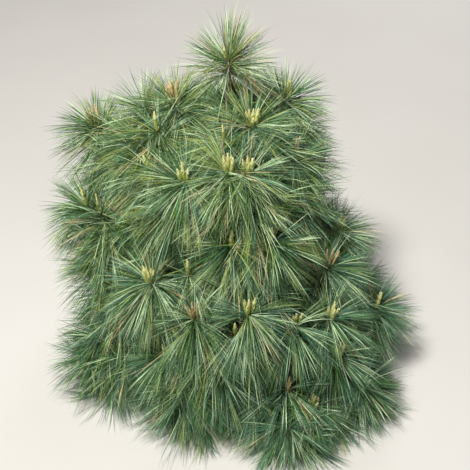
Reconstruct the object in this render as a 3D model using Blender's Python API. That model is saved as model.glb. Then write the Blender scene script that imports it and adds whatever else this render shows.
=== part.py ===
"""A small, dense eastern white pine of the rounded, slow-growing kind, rooted in level ground.

The tree is one trunk, whorls of boughs, and one mass of needles on each bough and on the leader.
Metres, +Z up, the origin at the middle of the trunk's flat cut at ground level. The front of
the tree faces -Y, and compass angles are counted from +X (the tree's right) towards +Y (its back).
"""

import math

import bmesh
import bpy
from mathutils import Vector, noise

# Trunk
TRUNK_TIP_HEIGHT = 0.602
TRUNK_FOOT_RADIUS = 0.0165
TRUNK_TIP_RADIUS = 0.0030
TRUNK_TAPER = 0.85
FLARE_RADIUS = 0.012
FLARE_HEIGHT = 0.022
FLARE_LOBES = 5
FLARE_LOBE_SHARE = 0.13
TRUNK_LEAN = Vector((-0.009, 0.004))
TRUNK_SWAY = 0.004
TRUNK_SIDES = 14
TRUNK_RINGS = 15
TRUNK_RING_CROWDING = 1.35

# Crown: the reach of the shoot tips shrinks evenly with height, but the left side bulges
SKIRT_REACH = 0.262
REACH_LOSS = 0.42
REACH_DATUM = 0.08
BULGE = 0.116
BULGE_COMPASS = 163.0
BULGE_HEIGHT = 0.385
BULGE_SPREAD = 0.135
BULGE_SHARPNESS = 4

# Bare core: a cone round the trunk, with no needles in it
CORE_APEX = 0.665
CORE_SLOPE = 0.25

# Masses of needles
MASS_RADIUS_TOP = 0.088
MASS_RADIUS_SKIRT = 0.108
TIP_TO_CENTRE_IN = 0.040
TIP_TO_CENTRE_DOWN = 0.012
INNER_FACE_SHARE = 0.74
HANGING_SHARE = 0.16
LUMP_SHARE = 0.13
LUMPS_PER_METRE = 19.0
MASS_POINTS = 118
NEIGHBOUR_REACH = 1.4
LEADER_RADIUS = 0.071
LEADER_CENTRE_BELOW_TIP = 0.010
GROUND_CLEARANCE = 0.003

# Boughs
BOUGH_SIDES = 7
BOUGH_RINGS = 5
BOUGH_ROOT_RADIUS = (0.0032, 0.0050)
BOUGH_END_SHARE = 0.62
BOUGH_STAGGER = 0.0105
BOUGH_BEND_SHARE = 0.4
HEADING_STEP = 0.02

# Clear distance left between pieces that meet
GAP = 0.0003

# Faces that meet at a wider angle than this are shaded with an edge
EDGE_ANGLE = 50.0

# Whorls from the top down: the height of the lowest bough's root on the trunk, and for each
# bough its side, its compass angle in degrees and the height of its shoot tip
WHORLS = {
    "top": (
        0.455,
        (
            ("left", 163, 0.486),
            ("front", 298, 0.514),
            ("back", 50, 0.490),
        ),
    ),
    "upper": (
        0.350,
        (
            ("front", 271, 0.457),
            ("front_left", 212, 0.430),
            ("right", 340, 0.432),
            ("right_back", 38, 0.432),
            ("left_back", 112, 0.420),
        ),
    ),
    "middle": (
        0.245,
        (
            ("left_back", 153, 0.388),
            ("left", 178, 0.318),
            ("front", 281, 0.358),
            ("right", 346, 0.275),
            ("front_left", 227, 0.280),
            ("back", 80, 0.310),
        ),
    ),
    "lower": (
        0.118,
        (
            ("front_left", 250, 0.236),
            ("front", 276, 0.258),
            ("front_right", 308, 0.208),
            ("right", 353, 0.166),
            ("left", 200, 0.220),
            ("right_back", 32, 0.205),
            ("back", 98, 0.200),
            ("left_back", 147, 0.215),
        ),
    ),
    "skirt": (
        0.036,
        (
            ("left", 202, 0.105),
            ("front_left", 247, 0.104),
            ("front", 298, 0.084),
            ("front_right", 325, 0.080),
            ("right_back", 18, 0.085),
            ("back", 70, 0.090),
            ("left_back", 127, 0.088),
        ),
    ),
}

# The front left of the skirt is drawn in a little, and its front right spreads
SKIRT_PULL = {"front_left": -0.046, "front": -0.010, "front_right": 0.004}

BARK_COLOUR = (0.150, 0.105, 0.075)
NEEDLE_COLOUR_TOP = (0.150, 0.215, 0.080)
NEEDLE_COLOUR_SKIRT = (0.085, 0.150, 0.085)
BARK_ROUGHNESS = 0.85
NEEDLE_ROUGHNESS = 0.55


def clear_scene():
    for old in list(bpy.data.objects):
        bpy.data.objects.remove(old, do_unlink=True)


def make_material(name, colour, roughness):
    material = bpy.data.materials.new(name)
    material.use_nodes = True
    shader = material.node_tree.nodes["Principled BSDF"]
    shader.inputs["Base Color"].default_value = (*colour, 1.0)
    shader.inputs["Roughness"].default_value = roughness
    shader.inputs["Metallic"].default_value = 0.0
    return material


def blend_colours(low, high, share):
    return tuple(a + (b - a) * share for a, b in zip(low, high, strict=True))


def add_object(name, shape, material, parent):
    """Turns a bmesh into a smooth-shaded object with its own material."""
    bmesh.ops.recalc_face_normals(shape, faces=shape.faces[:])
    mesh = bpy.data.meshes.new(name)
    shape.to_mesh(mesh)
    shape.free()
    mesh.shade_smooth()
    mesh.set_sharp_from_angle(angle=math.radians(EDGE_ANGLE))
    mesh.materials.append(material)
    made = bpy.data.objects.new(name, mesh)
    made.parent = parent
    bpy.context.scene.collection.objects.link(made)
    return made


def compass(degrees):
    """The level direction at a compass angle."""
    angle = math.radians(degrees)
    return Vector((math.cos(angle), math.sin(angle), 0.0))


def trunk_centre(height):
    """The trunk's axis: a small lean, with a slow sway on top of it."""
    share = height / TRUNK_TIP_HEIGHT
    sway = TRUNK_SWAY * math.sin(2.0 * math.pi * share)
    return Vector((TRUNK_LEAN.x * share + sway, TRUNK_LEAN.y * share, height))


def trunk_radius(height):
    share = max(0.0, 1.0 - height / TRUNK_TIP_HEIGHT)
    taper = (TRUNK_FOOT_RADIUS - TRUNK_TIP_RADIUS) * share**TRUNK_TAPER
    return TRUNK_TIP_RADIUS + taper + FLARE_RADIUS * math.exp(-height / FLARE_HEIGHT)


def trunk_ring(height, spare):
    """One ring of the trunk, with the root lobes that swell its foot."""
    centre = trunk_centre(height)
    lobes = FLARE_LOBE_SHARE * math.exp(-height / FLARE_HEIGHT)
    points = []
    for k in range(TRUNK_SIDES):
        angle = 2.0 * math.pi * k / TRUNK_SIDES
        radius = trunk_radius(height) * (1.0 + lobes * math.cos(FLARE_LOBES * angle)) + spare
        points.append(centre + radius * Vector((math.cos(angle), math.sin(angle), 0.0)))
    return points


def skin_rings(rings, apex=None):
    """A closed skin over a stack of rings, with a flat end or a point at the far end."""
    shape = bmesh.new()
    stack = [[shape.verts.new(point) for point in ring] for ring in rings]
    for low, high in zip(stack, stack[1:], strict=False):
        for k in range(len(low)):
            n = (k + 1) % len(low)
            shape.faces.new((low[k], low[n], high[n], high[k]))
    shape.faces.new(list(reversed(stack[0])))
    if apex is None:
        shape.faces.new(stack[-1])
    else:
        tip = shape.verts.new(apex)
        last = stack[-1]
        for k in range(len(last)):
            shape.faces.new((last[k], last[(k + 1) % len(last)], tip))
    return shape


def trunk_shape(spare=0.0):
    """The trunk from its flat cut to its tip; spare makes it fatter all round."""
    rings = []
    for k in range(TRUNK_RINGS):
        share = (k / (TRUNK_RINGS - 1)) ** TRUNK_RING_CROWDING
        rings.append(trunk_ring(TRUNK_TIP_HEIGHT * share, spare))
    bud = Vector((0.0, 0.0, TRUNK_TIP_RADIUS + spare))
    return skin_rings(rings, trunk_centre(TRUNK_TIP_HEIGHT) + bud)


def reach_at(height, degrees):
    """How far from the trunk a shoot tip stands, from its height and side."""
    reach = SKIRT_REACH - REACH_LOSS * (height - REACH_DATUM)
    facing = max(0.0, math.cos(math.radians(degrees - BULGE_COMPASS)))
    swell = math.exp(-(((height - BULGE_HEIGHT) / BULGE_SPREAD) ** 2))
    return reach + BULGE * facing**BULGE_SHARPNESS * swell


class Mass:
    """One mass of needles: where its shoot tip stands, and the room that it may fill."""

    def __init__(self, name, centre, radius, inward=None):
        self.name = name
        self.centre = centre
        self.radius = radius
        self.inward = inward
        self.inner_distance = radius
        self.walls = []

    def add_wall(self, normal, distance):
        """Keeps the mass within a distance of its centre along a direction."""
        self.walls.append((normal, distance))

    def surface_distance(self, direction):
        bump = noise.noise((self.centre + self.radius * direction) * LUMPS_PER_METRE)
        hanging = HANGING_SHARE * max(0.0, -direction.z)
        distance = self.radius * (1.0 + hanging + LUMP_SHARE * bump)
        for normal, limit in self.walls:
            facing = direction.dot(normal)
            if facing > 0.0:
                distance = min(distance, limit / facing)
        return distance


def core_normal(degrees):
    """The way from the bare core's surface outwards, at a compass angle."""
    level = 1.0 / math.hypot(1.0, CORE_SLOPE)
    return compass(degrees) * level + Vector((0.0, 0.0, CORE_SLOPE * level))


def bough_mass(name, degrees, reach, height):
    """The mass that a bough carries, with the flat inner face where the bough goes in."""
    share = (height - REACH_DATUM) / (TRUNK_TIP_HEIGHT - REACH_DATUM)
    radius = MASS_RADIUS_SKIRT + (MASS_RADIUS_TOP - MASS_RADIUS_SKIRT) * share
    out = compass(degrees)
    centre = out * (reach - TIP_TO_CENTRE_IN)
    centre.z = height - TIP_TO_CENTRE_DOWN
    normal = core_normal(degrees)
    to_core = (centre - Vector((0.0, 0.0, CORE_APEX))).dot(normal)
    mass = Mass(name, centre, radius, inward=-normal)
    mass.inner_distance = min(to_core, INNER_FACE_SHARE * radius)
    mass.add_wall(mass.inward, mass.inner_distance)
    return mass


def share_the_room(masses):
    """Puts a wall between each two masses whose rounds would meet, and one above the ground."""
    for mass in masses:
        mass.add_wall(Vector((0.0, 0.0, -1.0)), mass.centre.z - GROUND_CLEARANCE)
        for other in masses:
            apart = other.centre - mass.centre
            span = apart.length
            if other is mass or span > NEIGHBOUR_REACH * (mass.radius + other.radius):
                continue
            limit = (span**2 + mass.radius**2 - other.radius**2) / (2.0 * span)
            mass.add_wall(apart / span, limit - GAP)


def even_directions(count, axis):
    """Directions spread evenly over a sphere, starting at an axis."""
    turn = axis.to_track_quat("Z", "Y")
    golden = math.pi * (3.0 - math.sqrt(5.0))
    found = [turn @ Vector((0.0, 0.0, 1.0))]
    for k in range(1, count - 1):
        height = 1.0 - 2.0 * k / (count - 1)
        ring = math.sqrt(1.0 - height**2)
        found.append(turn @ Vector((ring * math.cos(golden * k), ring * math.sin(golden * k), height)))
    found.append(turn @ Vector((0.0, 0.0, -1.0)))
    return found


def mass_shape(mass):
    """A closed, uneven skin round the centre of a mass, out to its walls."""
    shape = bmesh.new()
    axis = mass.inward if mass.inward else Vector((0.0, 0.0, 1.0))
    for direction in even_directions(MASS_POINTS, axis):
        shape.verts.new(direction)
    bmesh.ops.convex_hull(shape, input=shape.verts[:])
    for vert in shape.verts:
        direction = vert.co.normalized()
        vert.co = mass.centre + direction * mass.surface_distance(direction)
    return shape


def bezier(points, share):
    a, b, c, d = points
    rest = 1.0 - share
    return rest**3 * a + 3 * rest**2 * share * b + 3 * rest * share**2 * c + share**3 * d


def bough_shape(root_height, degrees, mass):
    """A tapering limb, from the trunk's bark to the flat inner face of its mass."""
    out = compass(degrees)
    share = root_height / TRUNK_TIP_HEIGHT
    radius = BOUGH_ROOT_RADIUS[1] + (BOUGH_ROOT_RADIUS[0] - BOUGH_ROOT_RADIUS[1]) * share
    foot = root_height - radius
    start = trunk_centre(root_height) + out * (trunk_radius(foot) + GAP)
    leaving = -mass.inward
    end = mass.centre + mass.inward * (mass.inner_distance + GAP)
    bend = (end - start).length * BOUGH_BEND_SHARE
    route = (start, start + out * bend, end - leaving * bend, end)
    rings = []
    for k in range(BOUGH_RINGS):
        along = k / (BOUGH_RINGS - 1)
        heading = out.lerp(leaving, along).normalized()
        if 0 < k < BOUGH_RINGS - 1:
            ahead = bezier(route, along + HEADING_STEP)
            heading = (ahead - bezier(route, along - HEADING_STEP)).normalized()
        turn = heading.to_track_quat("Z", "Y")
        ring_radius = radius * (1.0 - (1.0 - BOUGH_END_SHARE) * along)
        ring = []
        for side in range(BOUGH_SIDES):
            angle = 2.0 * math.pi * side / BOUGH_SIDES
            spoke = Vector((math.cos(angle), math.sin(angle), 0.0)) * ring_radius
            ring.append(bezier(route, along) + turn @ spoke)
        rings.append(ring)
    return skin_rings(rings)


def plan_boughs():
    """Each bough's whorl and side, root height, compass angle and mass, from the whorls."""
    plan = []
    for whorl, (lowest_root, members) in WHORLS.items():
        by_height = sorted(members, key=lambda member: member[2])
        for side, degrees, height in members:
            root_height = lowest_root + BOUGH_STAGGER * by_height.index((side, degrees, height))
            reach = reach_at(height, degrees)
            if whorl == "skirt":
                reach += SKIRT_PULL.get(side, 0.0)
            label = f"{whorl}_{side}"
            mass = bough_mass(f"foliage_{label}", degrees, reach, height)
            plan.append((label, root_height, degrees, mass))
    return plan


def cut_pocket(made, parent):
    """Cuts the room for the trunk's tip out of the leader's mass."""
    cutter = add_object(
        "trunk_room", trunk_shape(spare=GAP), make_material("guide", (1, 0, 0), 1.0), parent
    )
    cutter.hide_render = True
    cutter.display_type = "WIRE"
    cutter.hide_set(True)
    pocket = made.modifiers.new("trunk_pocket", "BOOLEAN")
    pocket.operation = "DIFFERENCE"
    pocket.solver = "EXACT"
    pocket.object = cutter


def main():
    clear_scene()
    tree = bpy.data.objects.new("tree", None)
    bpy.context.scene.collection.objects.link(tree)

    bark = make_material("trunk_bark", BARK_COLOUR, BARK_ROUGHNESS)
    add_object("trunk", trunk_shape(), bark, tree)

    plan = plan_boughs()
    tip = trunk_centre(TRUNK_TIP_HEIGHT)
    leader_centre = tip - Vector((0.0, 0.0, LEADER_CENTRE_BELOW_TIP))
    leader = Mass("foliage_leader", leader_centre, LEADER_RADIUS)
    masses = [leader] + [mass for _, _, _, mass in plan]
    share_the_room(masses)

    for label, root_height, degrees, mass in plan:
        name = f"bough_{label}"
        bark = make_material(f"{name}_bark", BARK_COLOUR, BARK_ROUGHNESS)
        add_object(name, bough_shape(root_height, degrees, mass), bark, tree)

    for mass in masses:
        share = mass.centre.z / TRUNK_TIP_HEIGHT
        colour = blend_colours(NEEDLE_COLOUR_SKIRT, NEEDLE_COLOUR_TOP, share)
        needles = make_material(f"{mass.name}_needles", colour, NEEDLE_ROUGHNESS)
        made = add_object(mass.name, mass_shape(mass), needles, tree)
        if mass is leader:
            cut_pocket(made, tree)


if __name__ == "__main__":
    main()
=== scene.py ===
"""The looks of a small, dense eastern white pine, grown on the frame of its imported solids.

Metres, +Z up, the front of the tree faces -Y. Compass angles are counted from +X towards +Y.
Every shoot is planned first. Twigs, needles and candles are then made from that plan, each kind
in joined meshes.
"""

import math
from collections import namedtuple

import bpy
import numpy as np
from bpy.props import (
    FloatProperty,
    FloatVectorProperty,
    IntProperty,
    PointerProperty,
)
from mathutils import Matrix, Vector
from mathutils.bvhtree import BVHTree


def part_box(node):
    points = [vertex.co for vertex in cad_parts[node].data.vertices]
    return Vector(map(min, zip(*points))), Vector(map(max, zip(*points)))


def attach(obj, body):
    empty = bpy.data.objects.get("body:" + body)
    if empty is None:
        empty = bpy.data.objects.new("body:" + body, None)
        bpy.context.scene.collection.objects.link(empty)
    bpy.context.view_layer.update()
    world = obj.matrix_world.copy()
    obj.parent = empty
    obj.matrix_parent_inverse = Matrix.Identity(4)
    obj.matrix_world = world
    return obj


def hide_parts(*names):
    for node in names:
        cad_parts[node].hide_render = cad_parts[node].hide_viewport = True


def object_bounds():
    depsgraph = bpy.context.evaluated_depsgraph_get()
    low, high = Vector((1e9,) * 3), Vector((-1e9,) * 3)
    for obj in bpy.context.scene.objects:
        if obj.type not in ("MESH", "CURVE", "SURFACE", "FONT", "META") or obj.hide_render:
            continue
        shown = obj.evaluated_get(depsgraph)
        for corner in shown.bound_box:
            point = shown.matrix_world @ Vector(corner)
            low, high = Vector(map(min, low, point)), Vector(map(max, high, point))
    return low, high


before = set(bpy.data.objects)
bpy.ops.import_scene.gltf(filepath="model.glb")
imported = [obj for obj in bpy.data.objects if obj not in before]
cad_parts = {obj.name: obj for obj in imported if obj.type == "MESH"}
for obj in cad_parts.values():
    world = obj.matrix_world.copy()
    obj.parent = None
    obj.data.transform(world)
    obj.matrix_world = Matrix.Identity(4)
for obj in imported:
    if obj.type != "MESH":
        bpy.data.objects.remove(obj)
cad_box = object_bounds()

bl_info = {
    "name": "White pine looks",
    "version": (1, 0, 0),
    "blender": (4, 5, 0),
    "location": "3D View > Sidebar > Pine",
    "description": "Grows bark, needles and candles on the frame of a small white pine",
    "category": "Object",
}

UP = np.array([0.0, 0.0, 1.0])
LEVEL = np.array([1.0, 1.0, 0.0])
GOLDEN_ANGLE = math.pi * (3.0 - math.sqrt(5.0))

# Tufts seen from the front: for each mass, the compass angle and height of each main shoot's
# tip, how many candles it carries, their kind, and how far inside the mass's skin the tip is.
# Masses that aren't named get one by rule, apart from the leader, whose shoot has its own.
MAIN_TUFTS = {
    "top_left": ((163, 0.498, 7, "brown", 0.105), (175, 0.440, 2, "green", 0.045)),
    "top_front": ((296, 0.508, 6, "cream", 0.060),),
    "top_back": ((32, 0.492, 4, "cream", 0.030),),
    "upper_front": ((265, 0.466, 5, "cream", 0.038), (279, 0.465, 5, "cream", 0.038)),
    "upper_front_left": ((231, 0.436, 4, "green", 0.050), (197, 0.420, 4, "green", 0.050)),
    "upper_right": ((341, 0.434, 3, "brown", 0.068),),
    "middle_left_back": ((154, 0.402, 5, "brown", 0.034),),
    "middle_left": ((175, 0.307, 3, "green", 0.050),),
    "middle_front": ((268, 0.350, 3, "green", 0.050), (291, 0.356, 3, "cream", 0.050)),
    "middle_front_left": ((227, 0.280, 6, "cream", 0.046),),
    "middle_right": ((0, 0.270, 3, "cream", 0.064), (332, 0.258, 3, "brown", 0.062)),
    "lower_left": ((191, 0.234, 2, "green", 0.034),),
    "lower_front_left": ((251, 0.240, 4, "brown", 0.061),),
    "lower_front": ((276, 0.260, 4, "green", 0.050),),
    "lower_front_right": ((298, 0.216, 3, "green", 0.064), (317, 0.204, 5, "cream", 0.061)),
    "lower_right": ((353, 0.125, 3, "green", 0.052),),
    "lower_right_back": ((34, 0.222, 3, "green", 0.092),),
    "skirt_right_back": ((18, 0.108, 2, "green", 0.098),),
    "skirt_left": ((201, 0.110, 3, "green", 0.076),),
    "skirt_front_left": ((236, 0.142, 2, "green", 0.052), (263, 0.112, 4, "green", 0.072)),
    "skirt_front": ((302, 0.062, 5, "green", 0.080), (293, 0.100, 2, "brown", 0.098)),
    "skirt_front_right": ((316, 0.140, 5, "cream", 0.063), (325, 0.058, 3, "green", 0.069)),
}

# How far inside its mass's skin a tip stands: by rule for a main shoot, and for a side shoot
# as a share of the needle length, with more of it towards the right
TIP_INSET = 0.054
SIDE_INSET = 0.62
RIGHT_INSET = 0.26

# How steeply shoots rise, in degrees: at the ground, and how much more at the top
LOW_RISE = 46.0
RISE_GAIN = 26.0

# Main shoots by rule: how far over its mass's middle the tip is, and the fewest candles. The
# length of the mass's name deals out up to two more.
RULE_LIFT = 0.02
RULE_CANDLES = 2

# Side shoots: places tried on each mass, the least room between tips, how much each leans its
# own way, the lowest skin that one grows under, and the room to another mass's skin
SIDE_TRIES = 160
SIDE_SPACING = 0.046
SIDE_SWAY = 0.20
LOWEST_SIDE = 0.035
SKIN_TOUCH = 0.006

# A side shoot points partly square to the skin, and partly as a main shoot there would
SQUARE_PART = 0.55
MAIN_PART = 0.65

# How squarely the skin over a side shoot faces away from a point this far under it
LEAST_FACING = 0.15
FACING_DROP = 0.10

# The share of side shoots that carry candles, the span that whole numbers of candles beyond the
# first are drawn from, and the height below which none carries any
SIDE_CANDLE_SHARE = 0.30
MORE_CANDLES = 2.4
LOWEST_CANDLE = 0.03

# Wood: where the leader's limb starts below the tip, and the points on a limb's and a twig's
# line. A smooth line is pulled along its end ways by this share of its reach.
LEADER_START = 0.10
LIMB_POINTS = 14
TWIG_POINTS = 10
CURVE_PULL = 0.38

# Needles keep out of the room over a cluster of candles, which leads up and outwards, and are
# tested at these shares of their length
ROOM_START = 0.007
ROOM_LENGTH = 0.040
ROOM_RISE = 0.75
ROOM_OUT = 0.60
ROOM_RADIUS = 0.0085
ROOM_WIDENING = 0.5
ROOM_STATIONS = (0.30, 0.45, 0.60, 0.75, 0.88, 1.0)
ROOM_REACH = 0.17

# Leader: the foot of its middle candle under the top of the frame's trunk, how many candles it
# has, and its lean to the front
LEADER_CANDLE = 0.016
LEADER_CANDLES = 3
LEADER_LEAN = (0.0, -0.12, 1.0)

# Room between the ground and the lowest needles, and what is added to it at random. How far
# needles may pass the frame's box before they are cut shorter, and the least share that is left
# of one, then how far a bent needle may pass it at most.
GROUND_GAP = 0.002
GROUND_SPREAD = 0.006
BOX_MARGIN = 0.014
SHORTEST_SHARE = 0.3
BEND_MARGIN = 0.020


def length_property(name, description, default):
    return FloatProperty(name=name, description=description, default=default, min=0.0, unit="LENGTH")


def angle_property(name, description, degrees):
    default = math.radians(degrees)
    return FloatProperty(name=name, description=description, default=default, unit="ROTATION")


def count_property(name, description, default):
    return IntProperty(name=name, description=description, default=default, min=0)


def power_property(name, description, default):
    return FloatProperty(name=name, description=description, default=default, min=0.0, unit="POWER")


class PineSizes(bpy.types.PropertyGroup):
    """Sizes and counts of what grows on the frame."""

    needle_length: length_property("Needle length", "Length of a full-grown needle", 0.097)
    needle_width: length_property("Needle width", "Width of a needle at its widest", 0.00090)
    needle_droop: FloatProperty(
        name="Needle droop", description="How far a level needle's tip hangs, as a share of its length",
        default=0.23, min=0.0, max=1.0, subtype="FACTOR",
    )
    bundle_spread: angle_property("Bundle spread", "How far the five needles of a bundle part", 3.0)
    main_bundles: count_property("Bundles on a main shoot", "Bundles of five needles on each", 275)
    side_bundles: count_property("Bundles on a side shoot", "Bundles of five needles on each", 125)
    side_shoots: count_property("Side shoots", "Most side shoots in one mass", 6)
    candle_length: length_property("Candle length", "Length of a cluster's tallest candle", 0.033)
    candle_width: length_property("Candle width", "Width of a candle at its middle", 0.0062)
    seed: count_property("Seed", "Start of every random draw", 11)


def colour_property(name, description, default):
    return FloatVectorProperty(
        name=name, description=description, default=default, size=3, subtype="COLOR",
        min=0.0, max=1.0,
    )


class PineColours(bpy.types.PropertyGroup):
    """Base colours, as linear values."""

    blue_green: colour_property("Blue-green", "Needles of the lower crown", (0.019, 0.092, 0.034))
    mid_green: colour_property("Mid green", "Ordinary needles", (0.027, 0.106, 0.011))
    yellow_green: colour_property("Yellow-green", "Young needles near the top", (0.290, 0.360, 0.085))
    pale_bloom: colour_property("Pale bloom", "Needles that show their waxy side", (0.440, 0.610, 0.340))
    straw: colour_property("Straw", "Dying needles", (0.560, 0.440, 0.220))
    silver: colour_property("Silver", "Lit sides of blue-green needles", (0.460, 0.740, 0.540))
    frost: colour_property("Frost", "Palest of the waxy needles", (0.780, 0.900, 0.660))
    bleached: colour_property("Bleached", "Palest of the dying needles", (0.800, 0.720, 0.520))
    dead_brown: colour_property("Dead brown", "Shed needles", (0.360, 0.190, 0.110))
    candle_body: colour_property("Candle", "Sides of the candles", (0.360, 0.430, 0.080))
    candle_tip: colour_property("Candle tip", "Tips of the candles", (0.860, 0.840, 0.420))
    candle_brown: colour_property("Brown candle", "Candles with papery scales", (0.440, 0.330, 0.140))
    candle_tan: colour_property("Tan tip", "Tips of the brown candles", (0.790, 0.630, 0.370))
    bud_scale: colour_property("Bud scales", "Scales at the foot of the candles", (0.130, 0.065, 0.030))
    bark: colour_property("Bark", "Bark of the trunk and boughs", (0.150, 0.115, 0.085))
    young_bark: colour_property("Young bark", "Bark of the twigs and the leader", (0.230, 0.165, 0.095))
    resin: colour_property("Resin", "Dried resin on the leader", (0.620, 0.590, 0.540))
    crust: colour_property("Crust", "White crust on the resin", (0.900, 0.880, 0.840))


class PineStage(bpy.types.PropertyGroup):
    """Camera, floor and light."""

    elevation: angle_property("Camera elevation", "How steeply the camera looks down", 38.0)
    distance: length_property("Camera distance", "From the camera to where it looks", 1.8)
    focus_height: length_property("Aim height", "Height of the point that the camera looks at", 0.26)
    focal_pixels: FloatProperty(
        name="Focal length", description="In pixels of the photograph's frame", default=1080.0, min=1.0,
    )
    floor_colour: colour_property("Floor", "The plain floor", (0.62, 0.60, 0.57))
    key_power: power_property("Key light", "Power of the main lamp", 165.0)
    back_power: power_property("Back light", "Power of the weaker lamp behind", 28.0)
    fill_strength: FloatProperty(
        name="Sky fill", description="Strength of the even light from all round", default=0.040, min=0.0,
    )


def settings():
    scene = bpy.context.scene
    return scene.pine_sizes, scene.pine_colours, scene.pine_stage


def unit(vectors):
    """Each vector at length one."""
    vectors = np.asarray(vectors, float)
    return vectors / np.maximum(np.linalg.norm(vectors, axis=-1, keepdims=True), 1e-12)


def compass(degrees):
    angle = math.radians(degrees)
    return np.array([math.cos(angle), math.sin(angle), 0.0])


def even_turns(count):
    return np.arange(count) * 2 * math.pi / count


def across_two(direction):
    """Two directions square to one another and to each given direction."""
    direction = np.atleast_2d(direction)
    level = np.abs(direction[:, 2:3]) > 0.9
    helper = np.where(level, np.array([[1.0, 0.0, 0.0]]), UP[None])
    first = unit(np.cross(helper, direction))
    return first, np.cross(direction, first)


def round_about(direction, turns):
    """The way square to each direction, at each turn round it."""
    first, second = across_two(direction)
    turns = np.atleast_1d(turns)[:, None]
    return np.cos(turns) * first + np.sin(turns) * second


# Reading the frame


def node_points(name):
    """The separate corners of a CAD node."""
    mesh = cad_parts[name].data
    points = np.empty(len(mesh.vertices) * 3)
    mesh.vertices.foreach_get("co", points)
    return np.unique(points.reshape(-1, 3).round(6), axis=0)


def trunk_line():
    """The trunk's ring centres and radii, from its foot to its tip."""
    points = node_points("trunk")
    heights = np.unique(points[:, 2].round(5))
    centres, radii = [], []
    for height in heights:
        ring = points[np.abs(points[:, 2] - height) < 1e-4]
        centre = ring.mean(0)
        centres.append(centre)
        radii.append(np.linalg.norm(ring - centre, axis=1).mean() if len(ring) > 1 else 0.0)
    return np.array(centres), np.array(radii)


BOUGH_SIDES = 7


def bough_line(name):
    """A bough's ring centres and radii, from the trunk to its mass."""
    points = node_points(name)
    middle = points.mean(0)
    lean = np.linalg.svd(points - middle)[2][0]
    if np.dot(lean[:2], middle[:2]) < 0:
        lean = -lean
    order = np.argsort((points - middle) @ lean)
    rings = points[order][: len(points) // BOUGH_SIDES * BOUGH_SIDES]
    rings = rings.reshape(-1, BOUGH_SIDES, 3)
    centres = rings.mean(1)
    radii = np.linalg.norm(rings - centres[:, None], axis=2).mean(1)
    return centres, radii


class Mass:
    """A CAD mass of needles, as a skin that shoots are placed on."""

    def __init__(self, label):
        self.label = label
        self.whorl = label.split("_")[0]
        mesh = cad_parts[f"foliage_{label}"].data
        corners = [v.co for v in mesh.vertices]
        self.faces = [tuple(p.vertices) for p in mesh.polygons]
        self.tree = BVHTree.FromPolygons(corners, self.faces)
        self.corners = np.array(corners)
        low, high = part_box(f"foliage_{label}")
        self.middle = np.array((low + high) / 2)

    def skin_point(self, degrees, height):
        """Where a level ray from the trunk at a compass angle leaves the mass, or None."""
        out = Vector(compass(degrees))
        far = out + Vector((0.0, 0.0, height))
        hit = self.tree.ray_cast(far, -out)
        return np.array(hit[0]) if hit[0] is not None else None


def all_masses():
    names = sorted(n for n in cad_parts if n.startswith("foliage_"))
    return [Mass(name.removeprefix("foliage_")) for name in names]


# Planning the shoots


class Shoot:
    """One shoot: its tip, the way it points, its wood behind it, and what it carries."""

    def __init__(self, mass, tip, axis, rank, candles=0, kind="green"):
        self.whorl = mass.whorl
        self.tip = np.asarray(tip, float)
        self.axis = unit(axis)
        self.rank = rank
        self.candles = candles
        self.kind = kind
        self.path = None


def shoot_axis(tip, height_share):
    """Shoots point outwards low in the crown and more upwards near its top."""
    out = unit(tip * LEVEL)
    rise = math.radians(LOW_RISE + RISE_GAIN * height_share)
    return out * math.cos(rise) + UP * math.sin(rise)


def main_shoots(mass, top):
    """The main shoots of a mass, from the front's list or by rule."""
    if mass.label == "leader":
        tip = top - UP * LEADER_CANDLE
        return [Shoot(mass, tip, unit(LEADER_LEAN), "leader", LEADER_CANDLES)]
    rows = MAIN_TUFTS.get(mass.label)
    if rows is None:
        degrees = math.degrees(math.atan2(mass.middle[1], mass.middle[0]))
        count = RULE_CANDLES + len(mass.label) % 3
        rows = ((degrees, mass.middle[2] + RULE_LIFT, count, "green", TIP_INSET),)
    shoots = []
    for degrees, height, candles, kind, inset in rows:
        skin = mass.skin_point(degrees, height)
        if skin is None:
            raise RuntimeError(f"no skin of {mass.label} at {degrees} degrees, {height} m")
        axis = shoot_axis(skin, height / top[2])
        tip = skin - compass(degrees) * inset
        shoots.append(Shoot(mass, tip, axis, "main", candles, kind))
    return shoots


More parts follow.
